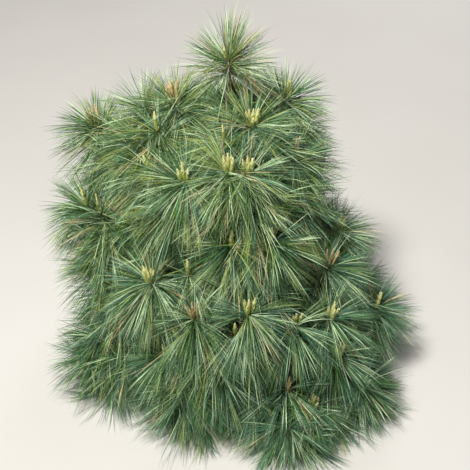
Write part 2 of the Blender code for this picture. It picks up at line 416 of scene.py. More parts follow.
def side_shoots(mass, masses, taken, sizes, rng, top):
    """Side shoots that fill a mass, apart from each other and from what is taken.

    The leader's mass takes its turn in the random draws and then has none.
    """
    corners = mass.corners[np.array([f[:3] for f in mass.faces])]
    normals = np.cross(corners[:, 1] - corners[:, 0], corners[:, 2] - corners[:, 0])
    areas = np.linalg.norm(normals, axis=1)
    picks = rng.choice(len(areas), SIDE_TRIES, p=areas / areas.sum())
    sways = np.random.default_rng(sizes.seed + 1).normal(0, SIDE_SWAY, (SIDE_TRIES, 3))
    share = rng.random((SIDE_TRIES, 2))
    share[share.sum(1) > 1] = 1 - share[share.sum(1) > 1]
    found = []
    if mass.label == "leader":
        return found
    for pick, (u, v), sway in zip(picks, share, sways, strict=True):
        a, b, c = corners[pick]
        skin = a + u * (b - a) + v * (c - a)
        normal = normals[pick] / areas[pick]
        facing = unit(skin - np.array([0.0, 0.0, skin[2] - FACING_DROP]))
        if normal @ facing < LEAST_FACING or skin[2] < LOWEST_SIDE:
            continue
        if any(near_skin(other, skin) for other in masses if other is not mass):
            continue
        axis = unit(SQUARE_PART * normal + MAIN_PART * shoot_axis(skin, skin[2] / top[2]))
        rightward = max(0.0, skin[0] / math.hypot(skin[0], skin[1]))
        inset = SIDE_INSET + RIGHT_INSET * rightward
        tip = skin - axis * sizes.needle_length * inset
        if all(np.linalg.norm(tip - other) > SIDE_SPACING for other in taken):
            carries = rng.random() < SIDE_CANDLE_SHARE
            candles = 1 + int(rng.random() * MORE_CANDLES) if carries else 0
            if tip[2] < LOWEST_CANDLE:
                candles = 0
            found.append(Shoot(mass, tip, axis + sway, "side", candles))
            taken.append(tip)
        if len(found) >= sizes.side_shoots:
            break
    return found


def near_skin(mass, point):
    return mass.tree.find_nearest(Vector(point), SKIN_TOUCH)[0] is not None


def curve_between(start, start_way, end, end_way, count):
    """A smooth line that leaves one point and arrives at another along given ways."""
    pull = np.linalg.norm(end - start) * CURVE_PULL
    a, b = start + start_way * pull, end - end_way * pull
    t = np.linspace(0.0, 1.0, count)[:, None]
    return (1 - t) ** 3 * start + 3 * (1 - t) ** 2 * t * a + 3 * (1 - t) * t**2 * b + t**3 * end


def twig_line(limb, fork, shoot):
    """A smooth line from one of a limb's points to a shoot's tip."""
    way = unit(limb[fork + 1] - limb[fork])
    return curve_between(limb[fork], way, shoot.tip, shoot.axis, TWIG_POINTS)


def plan_crown(sizes):
    """All shoots with the wood that carries each: a limb from the bough, or a twig from a limb."""
    masses = all_masses()
    centres, _ = trunk_line()
    top = centres[-1]
    rng = np.random.default_rng(sizes.seed)
    plan = []
    mains = {mass.label: main_shoots(mass, top) for mass in masses}
    taken = [shoot.tip for group in mains.values() for shoot in group]
    for mass in masses:
        sides = side_shoots(mass, masses, taken, sizes, rng, top)
        if mass.label == "leader":
            start, way = top - UP * LEADER_START, UP
        else:
            line, _ = bough_line(f"bough_{mass.label}")
            start, way = line[-1], unit(line[-1] - line[-2])
        first, *others = mains[mass.label]
        limb = curve_between(start, way, first.tip, first.axis, LIMB_POINTS)
        first.path = limb
        for shoot in others:
            shoot.path = twig_line(limb, LIMB_POINTS // 3, shoot)
        for shoot in sides:
            shoot.path = twig_line(limb, int(rng.integers(1, LIMB_POINTS - 4)), shoot)
        plan += mains[mass.label] + sides
    return plan


# Making meshes


def mesh_object(name, points, faces, material, smooth=True):
    """An object from arrays of corners and triangles."""
    mesh = bpy.data.meshes.new(name)
    points = np.ascontiguousarray(points.reshape(-1, 3), np.float32)
    faces = np.ascontiguousarray(faces.reshape(-1, 3), np.int32)
    mesh.vertices.add(len(points))
    mesh.vertices.foreach_set("co", points.ravel())
    mesh.loops.add(faces.size)
    mesh.loops.foreach_set("vertex_index", faces.ravel())
    mesh.polygons.add(len(faces))
    mesh.polygons.foreach_set("loop_start", np.arange(0, faces.size, 3, dtype=np.int32))
    mesh.polygons.foreach_set("use_smooth", np.full(len(faces), smooth))
    mesh.update(calc_edges=True)
    mesh.validate()
    mesh.materials.append(material)
    made = bpy.data.objects.new(name, mesh)
    bpy.context.scene.collection.objects.link(made)
    return made


def join_parts(parts):
    """One array of corners and one of triangles, from many."""
    points, faces, first = [], [], 0
    for part_points, part_faces in parts:
        points.append(part_points)
        faces.append(part_faces + first)
        first += len(part_points)
    return np.concatenate(points), np.concatenate(faces)


def grown_piece(name, parts, material):
    """A piece of many joined parts, which rides on the plant's one body."""
    points, faces = join_parts(parts)
    piece = mesh_object(name, points, faces, material)
    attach(piece, "root")
    return piece


def frames_along(path):
    """The way forward and two ways across at each point of a line, with no sudden twist."""
    ways = unit(np.gradient(path, axis=0))
    first, _ = across_two(ways[0])
    side = first[0]
    sides = []
    for way in ways:
        side = unit(side - way * (side @ way))
        sides.append(side)
    sides = np.array(sides)
    return ways, sides, np.cross(ways, sides)


def tube(path, radii, sides, relief=0.0):
    """A closed tube along a line. relief gives each ring's share of extra radius round it."""
    _, across, other = frames_along(path)
    k = np.arange(sides)
    n = (k + 1) % sides
    turns = even_turns(sides)[None, :, None]
    spokes = np.cos(turns) * across[:, None] + np.sin(turns) * other[:, None]
    reach = radii[:, None] * (np.ones((len(path), sides)) + relief)
    points = (path[:, None] + spokes * reach[..., None]).reshape(-1, 3)
    low = np.arange(len(path) - 1)[:, None] * sides
    top = low[-1, 0] + sides
    foot, head = len(points), len(points) + 1
    faces = [
        np.stack([low + k, low + n, low + sides + n], -1).reshape(-1, 3),
        np.stack([low + k, low + sides + n, low + sides + k], -1).reshape(-1, 3),
        np.stack([n, k, np.full(sides, foot)], -1),
        np.stack([top + k, top + n, np.full(sides, head)], -1),
    ]
    return np.concatenate([points, path[[0, -1]]]), np.concatenate(faces)


# A needle's outline: where along it its pairs of corners are and how wide it is there, its
# triangles over the pairs and the point, and all its corners
BLADE_STATIONS = np.array([0.0, 0.36, 0.72])
BLADE_WIDTHS = np.array([0.62, 1.0, 0.82])
BLADE_FACES = np.array([(0, 1, 3), (0, 3, 2), (2, 3, 5), (2, 5, 4), (4, 5, 6)])
BLADE_CORNERS = 7

# How a needle bends: less when it stands upright, drawn in as it hangs, and each its own way
UPRIGHT_EASE = 0.6
DROOP_PULL = 0.3
OWN_BEND = 0.055


def room_share(bases, ends):
    """The share of each needle's length that stays within the margin round the frame's box."""
    low, high = np.array(cad_box[0]) - BOX_MARGIN, np.array(cad_box[1]) + BOX_MARGIN
    span = ends - bases
    room = np.where(span > 0, high - bases, low - bases)
    share = np.divide(room, span, out=np.ones_like(span), where=np.abs(span) > 1e-6)
    share[:, 2] = np.where(span[:, 2] < 0, 1.0, share[:, 2])
    return np.clip(share.min(1), SHORTEST_SHARE, 1.0)


def blades(rng, bases, ways, lengths, widths, droops):
    """Slender needles, each of five triangles that narrow to a point and bend under their weight."""
    count = len(bases)
    stations = np.append(BLADE_STATIONS, 1.0)
    droops = droops * (1.0 - UPRIGHT_EASE * np.abs(ways[:, 2]))
    pulled = ways * (1.0 - DROOP_PULL * droops[:, None])
    ends = bases + lengths[:, None] * (pulled - UP * droops[:, None])
    lengths = lengths * room_share(bases, ends)
    reach = stations * (1.0 - DROOP_PULL * droops[:, None] * stations)
    spine = bases[:, None] + ways[:, None] * (lengths[:, None] * reach)[..., None]
    spine[..., 2] -= (droops * lengths)[:, None] * stations**2
    spine += rng.normal(0, OWN_BEND, (count, 1, 3)) * (lengths[:, None] * stations**2)[..., None]
    side = round_about(ways, rng.random(count) * 2 * math.pi)
    half = side[:, None] * (widths[:, None] * BLADE_WIDTHS / 2)[..., None]
    points = np.empty((count, BLADE_CORNERS, 3))
    points[:, 0:-1:2] = spine[:, :-1] - half
    points[:, 1:-1:2] = spine[:, :-1] + half
    points[:, -1] = spine[:, -1]
    floor = GROUND_GAP + GROUND_SPREAD * rng.random(count)
    points[..., 2] = np.maximum(points[..., 2], floor[:, None])
    low, high = np.array(cad_box[0]) - BEND_MARGIN, np.array(cad_box[1]) + BEND_MARGIN
    points[..., :2] = np.clip(points[..., :2], low[:2], high[:2])
    faces = BLADE_FACES[None] + BLADE_CORNERS * np.arange(count)[:, None, None]
    return points.reshape(-1, 3), faces.reshape(-1, 3)


# Materials

# How much a needle's own tone counts beside its place's, and the painted shade of a bark's furrows, as a
# share of its colour
OWN_SHADE = 0.65
FURROW_PAINTED_SHADE = 0.28


def feed(tree, node, values):
    """Sets a node's inputs. Each value is a plain one, or the output that feeds it."""
    for label, value in values.items():
        if isinstance(value, bpy.types.NodeSocket):
            tree.links.new(value, node.inputs[label])
        else:
            node.inputs[label].default_value = value


def add_node(tree, kind, values=None, **traits):
    node = tree.nodes.new(f"ShaderNode{kind}")
    for trait, value in traits.items():
        setattr(node, trait, value)
    feed(tree, node, values or {})
    return node


def new_material(name):
    material = bpy.data.materials.new(name)
    material.use_nodes = True
    return material, material.node_tree, material.node_tree.nodes["Principled BSDF"]


def object_place(tree):
    return add_node(tree, "TexCoord").outputs["Object"]


def shared_group(name, inputs, outputs, fill):
    """A shader group of a name, built the first time by filling it from its inputs."""
    if name in bpy.data.node_groups:
        return bpy.data.node_groups[name]
    group = bpy.data.node_groups.new(name, "ShaderNodeTree")
    for label, (kind, value) in inputs.items():
        socket = group.interface.new_socket(label, in_out="INPUT", socket_type=f"NodeSocket{kind}")
        socket.default_value = value
    for label, kind in outputs.items():
        group.interface.new_socket(label, in_out="OUTPUT", socket_type=f"NodeSocket{kind}")
    given = group.nodes.new("NodeGroupInput").outputs
    feed(group, group.nodes.new("NodeGroupOutput"), fill(group, given))
    return group


def fill_needle_tone(group, given):
    """Colour that changes from needle to needle and slowly from place to place."""
    island = add_node(group, "NewGeometry").outputs["Random Per Island"]
    patches = {"Vector": object_place(group), "Scale": given["Patch Scale"], "Detail": 2.0}
    noise = add_node(group, "TexNoise", patches).outputs["Fac"]
    both = add_node(group, "Math", {0: island, 1: OWN_SHADE, 2: noise}, operation="MULTIPLY_ADD")
    reach = {"Value": both.outputs[0], "From Min": 0.35, "From Max": 1.25, "To Max": given["Spread"]}
    share = add_node(group, "MapRange", reach).outputs["Result"]
    colours = {"Factor": share, "A": given["Colour"], "B": given["Light Colour"]}
    mix = add_node(group, "Mix", colours, data_type="RGBA")
    rough = add_node(group, "MapRange", {"Value": island, "To Min": 0.38, "To Max": 0.60})
    return {"Colour": mix.outputs["Result"], "Roughness": rough.outputs["Result"]}


def needle_tone_group():
    inputs = {
        "Colour": ("Color", (0.2, 0.3, 0.1, 1.0)),
        "Light Colour": ("Color", (0.5, 0.6, 0.4, 1.0)),
        "Spread": ("Float", 0.5),
        "Patch Scale": ("Float", 14.0),
    }
    return shared_group("needle_tone", inputs, {"Colour": "Color", "Roughness": "Float"}, fill_needle_tone)


def needle_material(name, colour, light, spread):
    material, tree, shader = new_material(name)
    tone = add_node(tree, "Group", node_tree=needle_tone_group())
    feed(tree, tone, {"Colour": (*colour, 1.0), "Light Colour": (*light, 1.0), "Spread": spread})
    feed(tree, shader, {
        "Base Color": tone.outputs["Colour"],
        "Roughness": tone.outputs["Roughness"],
        "Specular IOR Level": 0.14,
    })
    return material


def fill_bark(group, given):
    """Bark: plates and furrows for the height, and two colours dealt by them: the darker is painted shade
    in the furrows, and the grain's flecks run through both.
    """
    lengthwise = {"Vector": object_place(group), "Scale": (1.0, 1.0, 0.35)}
    place = add_node(group, "Mapping", lengthwise).outputs["Vector"]
    plates = add_node(group, "TexVoronoi", feature="DISTANCE_TO_EDGE")
    feed(group, plates, {"Vector": place, "Scale": given["Scale"]})
    furrow = add_node(group, "MapRange", {"Value": plates.outputs["Distance"], "From Max": 0.18})
    grain = add_node(group, "TexNoise", {"Vector": place, "Scale": 420.0, "Detail": 8.0}).outputs["Fac"]
    laid = {0: furrow.outputs["Result"], 1: 0.6, 2: grain}
    height = add_node(group, "Math", laid, operation="MULTIPLY_ADD").outputs[0]
    # The furrows take the darker colour: painted shade
    colours = {"Factor": height, "A": given["Painted Shade Colour"], "B": given["Colour"]}
    mix = add_node(group, "Mix", colours, data_type="RGBA")
    rough = add_node(group, "MapRange", {"Value": grain, "To Min": 0.95, "To Max": 0.70})
    return {"Colour": mix.outputs["Result"], "Height": height, "Roughness": rough.outputs["Result"]}


def bark_group():
    inputs = {
        "Colour": ("Color", (0.2, 0.15, 0.1, 1.0)),
        "Painted Shade Colour": ("Color", (0.05, 0.04, 0.03, 1.0)),
        "Scale": ("Float", 160.0),
    }
    outputs = {"Colour": "Color", "Height": "Float", "Roughness": "Float"}
    return shared_group("bark_pattern", inputs, outputs, fill_bark)


def bark_material(name, colour, scale, depth):
    material, tree, shader = new_material(name)
    bark = add_node(tree, "Group", node_tree=bark_group())
    # The furrows' colour is the bark's own, darkened as painted shade
    furrow_painted_shade = [value * FURROW_PAINTED_SHADE for value in colour]
    feed(tree, bark, {"Colour": (*colour, 1.0), "Painted Shade Colour": (*furrow_painted_shade, 1.0), "Scale": scale})
    bump = add_node(tree, "Bump", {"Height": bark.outputs["Height"], "Distance": depth, "Strength": 0.7})
    feed(tree, shader, {
        "Base Color": bark.outputs["Colour"],
        "Roughness": bark.outputs["Roughness"],
        "Normal": bump.outputs["Normal"],
    })
    return material


def speckled_material(name, colour, other, scale, roughness):
    """A surface of two colours that run into one another."""
    material, tree, shader = new_material(name)
    patches = {"Vector": object_place(tree), "Scale": scale, "Detail": 5.0}
    noise = add_node(tree, "TexNoise", patches).outputs["Fac"]
    ramp = add_node(tree, "ValToRGB", {"Fac": noise})
    ends = ramp.color_ramp.elements
    ends[0].position, ends[1].position = 0.35, 0.65
    ends[0].color, ends[1].color = (*colour, 1.0), (*other, 1.0)
    feed(tree, shader, {"Base Color": ramp.outputs["Color"], "Roughness": roughness})
    return material


def mixed(a, b, share):
    return tuple(x + (y - x) * share for x, y in zip(a, b, strict=True))


# Wood


# Bark relief: how many waves lie over each other, how often each goes round the limb, how fast
# it runs along it, how far it wanders and how much slower it swells, how rough the grain is, and
# the swelling at each knot
BARK_WAVES = 9
WAVE_TURNS = (2, 9)
WAVE_PACE = (60, 420)
WAVE_WANDER = 1.4
WAVE_SWELL = 0.7
GRAIN = 0.35
KNOT_SWELLING = 0.10
KNOT_REACH = 0.006


def run_along(path):
    """How far along a line each of its points is."""
    return np.concatenate([[0], np.cumsum(np.linalg.norm(np.diff(path, axis=0), axis=1))])


def bark_relief(path, sides, seed, depth, knots=()):
    """Extra radius round each ring: low furrows that wander, and a swelling at each knot."""
    rng = np.random.default_rng(seed)
    run = run_along(path)[:, None]
    relief = np.zeros((len(path), sides))
    for _ in range(BARK_WAVES):
        turns = int(rng.integers(*WAVE_TURNS))
        pace = rng.uniform(*WAVE_PACE)
        phase = rng.uniform(0, 2 * math.pi, 2)
        wander = WAVE_WANDER * np.sin(run * pace + phase[1])
        wave = np.sin(even_turns(sides)[None] * turns + phase[0] + wander)
        relief += wave * np.sin(run * pace * WAVE_SWELL + phase[1]) / BARK_WAVES
    relief = depth * (relief + GRAIN * rng.standard_normal(relief.shape))
    for height in knots:
        relief += KNOT_SWELLING * np.exp(-(((path[:, 2:3] - height) / KNOT_REACH) ** 2))
    return relief


def resample(path, radii, count):
    """The same line and its radii, at evenly spaced points."""
    run = run_along(path)
    at = np.linspace(0, run[-1], count)
    smooth = np.stack([np.interp(at, run, path[:, k]) for k in range(3)], 1)
    return smooth, np.interp(at, run, radii)


def bough_names():
    return sorted(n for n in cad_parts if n.startswith("bough_"))


# Trunk: its rings and sides, its bark's seed, relief, and pattern's scale and depth, the share of
# the frame's girth that it keeps, its radius under the leader's candles, and its foot's lobes
TRUNK_RINGS = 240
TRUNK_SIDES = 40
TRUNK_SEED = 5
TRUNK_RELIEF = 0.085
TRUNK_PATTERN = (150.0, 0.0012)
TRUNK_SHARE = 0.97
LEADER_RADIUS = 0.0026
ROOT_LOBES = 5
LOBE_TURN = 0.6
LOBE_DEPTH = 0.10
LOBE_REACH = 0.022


class PINE_OT_trunk(bpy.types.Operator):
    """Makes the trunk with its bark's relief, in place of the CAD trunk"""

    bl_idname = "pine.trunk"
    bl_label = "Trunk"

    def execute(self, context):
        _, colours, _ = settings()
        centres, radii = trunk_line()
        wood = (radii > 1e-6) & (centres[:, 2] < centres[-1, 2] - 1e-4)
        tip = centres[-1] - UP * LEADER_CANDLE
        line = np.concatenate([centres[wood], [tip]])
        path, girth = resample(line, np.append(radii[wood], LEADER_RADIUS), TRUNK_RINGS)
        knots = [bough_line(name)[0][0][2] for name in bough_names()]
        relief = bark_relief(path, TRUNK_SIDES, TRUNK_SEED, TRUNK_RELIEF, knots)
        flare = np.exp(-path[:, 2:3] / LOBE_REACH)
        lobes = np.cos(ROOT_LOBES * even_turns(TRUNK_SIDES) + LOBE_TURN)
        relief += LOBE_DEPTH * flare * lobes[None]
        relief[0] = relief[1]
        points, faces = tube(path, girth * TRUNK_SHARE, TRUNK_SIDES, relief)
        points[:, 2] = np.maximum(points[:, 2], 0.0)
        bark = bark_material("trunk_bark", colours.bark, *TRUNK_PATTERN)
        trunk = grown_piece("trunk_bark", [(points, faces)], bark)
        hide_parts("trunk")
        return {"FINISHED"}


# Boughs: their rings and sides, their bark's first seed, relief, and pattern's scale and depth,
# how far their root reaches into the trunk, and the collar there
BOUGH_RINGS = 40
BOUGH_BARK_SIDES = 14
BOUGH_SEED = 40
BOUGH_RELIEF = 0.11
BOUGH_PATTERN = (210.0, 0.0008)
BOUGH_ROOT = 0.006
BOUGH_COLLAR = 1.45


class PINE_OT_boughs(bpy.types.Operator):
    """Makes the boughs with their bark's relief, in place of the CAD boughs"""

    bl_idname = "pine.boughs"
    bl_label = "Boughs"

    def execute(self, context):
        _, colours, _ = settings()
        parts = []
        for number, name in enumerate(bough_names()):
            centres, radii = bough_line(name)
            root = centres[0] - unit(centres[1] - centres[0]) * BOUGH_ROOT
            centres = np.concatenate([[root], centres])
            radii = np.concatenate([[radii[0] * BOUGH_COLLAR], radii])
            path, girth = resample(centres, radii, BOUGH_RINGS)
            relief = bark_relief(path, BOUGH_BARK_SIDES, BOUGH_SEED + number, BOUGH_RELIEF)
            parts.append(tube(path, girth, BOUGH_BARK_SIDES, relief))
        bark = bark_material("bough_bark", colours.bark, *BOUGH_PATTERN)
        boughs = grown_piece("bough_bark", parts, bark)
        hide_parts(*bough_names())
        return {"FINISHED"}


# Limbs and twigs: their radii where they start and end, and their rings, then the sides and
# bark of both
LIMB_WOOD = (0.0031, 0.0021, 26)
TWIG_WOOD = (0.0021, 0.0016, 18)
TWIG_SIDES = 8
TWIG_SEED = 400
TWIG_RELIEF = 0.10
TWIG_PATTERN = (380.0, 0.0005)


class PINE_OT_twigs(bpy.types.Operator):
    """Grows the limbs and twigs inside the masses, out to every shoot"""

    bl_idname = "pine.twigs"
    bl_label = "Limbs and twigs"

    def execute(self, context):
        sizes, colours, _ = settings()
        parts = []
        for number, shoot in enumerate(plan_crown(sizes)):
            if shoot.rank == "leader":
                continue
            thick, thin, rings = LIMB_WOOD if shoot.rank == "main" else TWIG_WOOD
            path, girth = resample(shoot.path, np.linspace(thick, thin, len(shoot.path)), rings)
            relief = bark_relief(path, TWIG_SIDES, TWIG_SEED + number, TWIG_RELIEF)
            points, faces = tube(path, girth, TWIG_SIDES, relief)
            points[:, 2] = np.maximum(points[:, 2], GROUND_GAP)
            parts.append((points, faces))
        bark = bark_material("twig_bark", colours.young_bark, *TWIG_PATTERN)
        grown_piece("twigs", parts, bark)
        return {"FINISHED"}


# Needles


# Each needle tone: the paler colour it runs to, how far it runs, and how much of that shows
PALER_SIDES = {
    "blue_green": ("silver", 0.56, 0.55),
    "mid_green": ("pale_bloom", 0.50, 0.60),
    "yellow_green": ("pale_bloom", 0.50, 0.70),
    "pale_bloom": ("frost", 0.50, 0.80),
    "straw": ("bleached", 0.55, 0.80),
}
TONES = tuple(PALER_SIDES)

# Tones are dealt by a shoot's height and by how far left it is, as shares of these: how much of
# each there is at the foot, what the height adds, as which power of it, what the left adds, and
# the least there is. The leader's shoot has its own amounts of some.
TONE_HEIGHT = 0.60
TONE_WIDTH = 0.25
Deal = namedtuple("Deal", "foot height power left least")
DEALS = {
    "blue_green": Deal(0.62, -0.50, 1, -0.16, 0.05),
    "mid_green": Deal(0.34, 0.0, 1, 0.10, 0.0),
    "yellow_green": Deal(0.03, 0.36, 2, 0.04, 0.02),
    "pale_bloom": Deal(0.08, 0.10, 3, 0.0, 0.0),
    "straw": Deal(0.018, 0.030, 3, 0.0, 0.0),
}
LEADER_DEALS = {"yellow_green": 0.50, "pale_bloom": 0.24, "straw": 0.10}

# The share of needles that turn their waxy side out, whatever their bundle's tone
PALE_SHARE = 0.13

# Needles in a bundle, and how much bundles and single needles differ from the usual
BUNDLE = 5
BUNDLE_LENGTHS = (0.82, 1.05)
NEEDLE_LENGTHS = (0.93, 1.03)
NEEDLE_DROOPS = (0.55, 1.5)
NEEDLE_WIDTHS = (0.85, 1.15)

# Tufts: the length of stem that carries needles, how far the lowest and the highest bundles
# open from the stem, in degrees, how much shorter upright needles are, the share of hanging
# old bundles that are dying, and how much wider bundles part
Tuft = namedtuple("Tuft", "stem widest narrowest upright_loss dying parting")
TUFTS = {
    "leader": Tuft(0.030, 104.0, 14.0, 0.0, 0.0, 2.2),
    "main": Tuft(0.040, 132.0, 42.0, 0.16, 0.20, 1.0),
    "side": Tuft(0.046, 132.0, 42.0, 0.16, 0.08, 1.0),
}

# Bundles: the leader's share of a main shoot's, how far their opening, in degrees, and their
# turn stray, how far from the stem's middle they stand, and the part of the stem that is old
LEADER_BUNDLES = 0.56
OPENING_NOISE = 15.0
TURN_NOISE = 0.25
STEM_RADIUS = 0.0016
OLD_PART = 0.42

# Steps to a metre in a shoot's place, which gives its seed
SEED_STEPS = 10000

# The leader's stem shows: most needles that face the front and aren't upright are left out
STEM_FRONT = -0.70
STEM_RISE = 0.40
STEM_COVER = 0.20


def shoot_seed(shoot, salt):
    """A seed of its own for each shoot, from where it stands to a tenth of a millimetre."""
    place = (shoot.tip * SEED_STEPS).round().astype(int)
    return [salt, *(int(v) + SEED_STEPS for v in place)]


def tone_weights(shoot):
    """How a shoot's needles are dealt among the colours, from its place in the crown."""
    height = min(1.0, shoot.tip[2] / TONE_HEIGHT)
    left = np.clip(-shoot.tip[0] / TONE_WIDTH, -1.0, 1.0)
    amounts = {
        tone: max(deal.least, deal.foot + deal.height * height**deal.power + deal.left * left)
        for tone, deal in DEALS.items()
    }
    if shoot.rank == "leader":
        amounts.update(LEADER_DEALS)
    weights = np.array([amounts[tone] for tone in TONES])
    return weights / weights.sum()


def bundle_plan(shoot, sizes, rng):
    """Each bundle's foot, way, length and tone on one shoot."""
    tuft = TUFTS[shoot.rank]
    count = sizes.side_bundles if shoot.rank == "side" else sizes.main_bundles
    if shoot.rank == "leader":
        count = int(count * LEADER_BUNDLES)
    along = (np.arange(count) + rng.random(count)) / count
    turn = np.arange(count) * GOLDEN_ANGLE + rng.normal(0, TURN_NOISE, count)
    opening = tuft.widest + (tuft.narrowest - tuft.widest) * along
    opening = np.radians(opening + rng.normal(0, OPENING_NOISE, count))
    ring = round_about(shoot.axis, turn)
    ways = np.cos(opening)[:, None] * shoot.axis + np.sin(opening)[:, None] * ring
    feet = shoot.tip - shoot.axis * (tuft.stem * (1.0 - along))[:, None] + ring * STEM_RADIUS
    lengths = sizes.needle_length * rng.uniform(*BUNDLE_LENGTHS, count)
    lengths *= 1.0 - tuft.upright_loss * ways[:, 2]
    tones = rng.choice(len(TONES), count, p=tone_weights(shoot))
    old = (along < OLD_PART) & (ways[:, 2] < 0.0)
    tones[old & (rng.random(count) < tuft.dying)] = TONES.index("straw")
    return feet, unit(ways), lengths, tones


class CandleRooms:
    """The open room over each cluster of candles, which keeps needles out."""

    def __init__(self, plan):
        tips = np.array([shoot.tip for shoot in plan if shoot.candles])
        outward = unit(tips * LEVEL)
        self.starts = tips + UP * ROOM_START
        self.spans = unit(UP * ROOM_RISE + outward * ROOM_OUT) * ROOM_LENGTH

    def clear(self, bases, ways, lengths, droops):
        """Which needles pass none of the rooms."""
        keep = np.ones(len(bases), bool)
        near = np.linalg.norm(self.starts - bases.mean(0), axis=1) < ROOM_REACH
        for station in ROOM_STATIONS:
            drop = (droops * lengths * station**2)[:, None] * UP
            points = bases + ways * (lengths * station)[:, None] - drop
            for start, span in zip(self.starts[near], self.spans[near], strict=True):
                along = np.clip((points - start) @ span / (span @ span), 0.0, 1.0)
                apart = np.linalg.norm(points - start - along[:, None] * span, axis=1)
                keep &= apart > ROOM_RADIUS * (1.0 + ROOM_WIDENING * along)
        return keep


def needles_of(shoot, sizes, rooms):
    """Every needle of a shoot, those of a bundle parting a little towards their tips."""
    rng = np.random.default_rng(shoot_seed(shoot, sizes.seed))
    feet, ways, lengths, tones = (np.repeat(v, BUNDLE, 0) for v in bundle_plan(shoot, sizes, rng))
    tones[rng.random(len(tones)) < PALE_SHARE] = TONES.index("pale_bloom")
    first, second = across_two(ways)
    lean = rng.normal(0, sizes.bundle_spread, (len(ways), 2)) * TUFTS[shoot.rank].parting
    ways = unit(ways + first * lean[:, :1] + second * lean[:, 1:])
    lengths = lengths * rng.uniform(*NEEDLE_LENGTHS, len(lengths))
    droops = sizes.needle_droop * rng.uniform(*NEEDLE_DROOPS, len(lengths))
    widths = sizes.needle_width * rng.uniform(*NEEDLE_WIDTHS, len(lengths))
    keep = rooms.clear(feet, ways, lengths, droops)
    if shoot.rank == "leader":
        before_stem = (ways[:, 1] < STEM_FRONT) & (ways[:, 2] < STEM_RISE)
        keep &= ~before_stem | (rng.random(len(ways)) < STEM_COVER)
    chosen = (values[keep] for values in (feet, ways, lengths, widths, droops, tones))
    return rng, *chosen


def tone_material(colours, tone):
    paler, how_far, spread = PALER_SIDES[tone]
    colour = getattr(colours, tone)
    light = mixed(colour, getattr(colours, paler), how_far)
    return needle_material(f"needle_{tone}", colour, light, spread)


class PINE_OT_needles(bpy.types.Operator):
    """Grows the needles of every shoot, a joined piece for each whorl and colour"""

    bl_idname = "pine.needles"
    bl_label = "Needles"

    def execute(self, context):
        sizes, colours, _ = settings()
        sheaves = {}
        plan = plan_crown(sizes)
        rooms = CandleRooms(plan)
        for shoot in plan:
            rng, feet, ways, lengths, widths, droops, tones = needles_of(shoot, sizes, rooms)
            for number, tone in enumerate(TONES):
                own = tones == number
                if own.any():
                    sheaf = blades(rng, feet[own], ways[own], lengths[own], widths[own], droops[own])
                    sheaves.setdefault((shoot.whorl, tone), []).append(sheaf)
        materials = {tone: tone_material(colours, tone) for tone in TONES}
        for (whorl, tone), parts in sorted(sheaves.items()):
            piece = grown_piece(f"needles_{whorl}_{tone}", parts, materials[tone])
            if tone == "mid_green":
                stood_for = [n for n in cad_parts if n.startswith(f"foliage_{whorl}")]
                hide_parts(*sorted(stood_for))
        return {"FINISHED"}


# Candles

# Kinds of cluster: how tall and wide its candles are beside the usual, and its tips' shade
Kind = namedtuple("Kind", "tallness width shade")
KINDS = {
    "green": Kind(1.0, 1.0, "cream"),
    "cream": Kind(1.0, 1.0, "cream"),
    "brown": Kind(1.25, 0.78, "tan"),
}
LEADER_TALLNESS = 0.65
CANDLE_SALT = 77

# A cluster's candles stand up and follow the shoot a little. The outer ones stand this far from
# the middle one, out of step, and lean away, and are shorter. All differ in length and width.
STAND_UP = 0.78
FOLLOW_SHOOT = 0.40
CLUSTER_RADIUS = 0.0052
CLUSTER_NOISE = 0.2
OUTER_LEANS = (0.05, 0.24)
OUTER_LENGTHS = (0.66, 0.96)
CANDLE_LENGTHS = (0.9, 1.1)
CANDLE_WIDTHS = (0.85, 1.15)

# Each piece's two colours: what both are mixed from, how much of the second is in each, and
# then the scale of their pattern and the roughness
CREAM_FINISH = ("candle_tip", "candle_body", 0.0, 0.35, 260.0, 0.50)
TAN_FINISH = ("candle_tan", "candle_brown", 0.0, 0.45, 260.0, 0.50)
CANDLE_FINISHES = {
    "candles_green": ("candle_body", "candle_tip", 0.0, 0.25, 220.0, 0.55),
    "candles_cream": ("candle_body", "candle_tip", 0.15, 0.60, 220.0, 0.55),
    "candles_brown": ("candle_brown", "candle_tip", 0.0, 0.45, 220.0, 0.55),
    "candle_tips_cream": CREAM_FINISH,
    "candle_flakes_cream": CREAM_FINISH,
    "candle_tips_tan": TAN_FINISH,
    "candle_flakes_tan": TAN_FINISH,
    "bud_scales": ("bud_scale", "straw", 0.0, 0.35, 300.0, 0.70),
}

# A candle's outline: part of a sine's arch, made rounder, that tapers towards the tip
OUTLINE_FOOT = 0.16
OUTLINE_SPAN = 0.80
OUTLINE_ROUNDING = 0.55
OUTLINE_TAPER = 0.25

# A candle's mesh: its sides and rings, how it leans and bends, the body's and the tip's stretch
# of its length, how far the tip swells over the body, and its spiral rows of scales
CANDLE_SIDES = 10
CANDLE_RINGS = 14
CANDLE_LEAN = 0.05
CANDLE_BEND = 0.10
BODY_STRETCH = (0.0, 0.65)
TIP_STRETCH = (0.62, 1.0)
TIP_SWELLING = 0.03
SCALE_ROWS = 3
SCALE_PITCH = 34.0
SCALE_RELIEF = 0.13
SCALE_FADING = 0.4
LEAST_RADIUS = 0.0002

# Flakes: how many stand on a candle, how far up it they reach, how they open from it and stray,
# and their lengths and widths
FLAKES = 22
FLAKES_REACH = 0.86
FLAKE_OPENING = 0.16
FLAKE_STRAY = 0.05
FLAKE_LENGTHS = (0.0045, 0.0075)
FLAKE_WIDTHS = (0.0009, 0.0014)

# Bud scales: how many there are under candles and on a bare tip, how widely they open, how far
# behind the tip and beside it they stand, and their lengths and widths
SCALES_UNDER_CANDLES = 16
SCALES_ON_TIPS = 6
SCALE_OPENING = 0.55
SCALE_DEPTH = 0.002
SCALE_OFFSET = 0.001
SCALE_LENGTHS = (0.004, 0.008)
SCALE_WIDTHS = (0.0014, 0.0024)


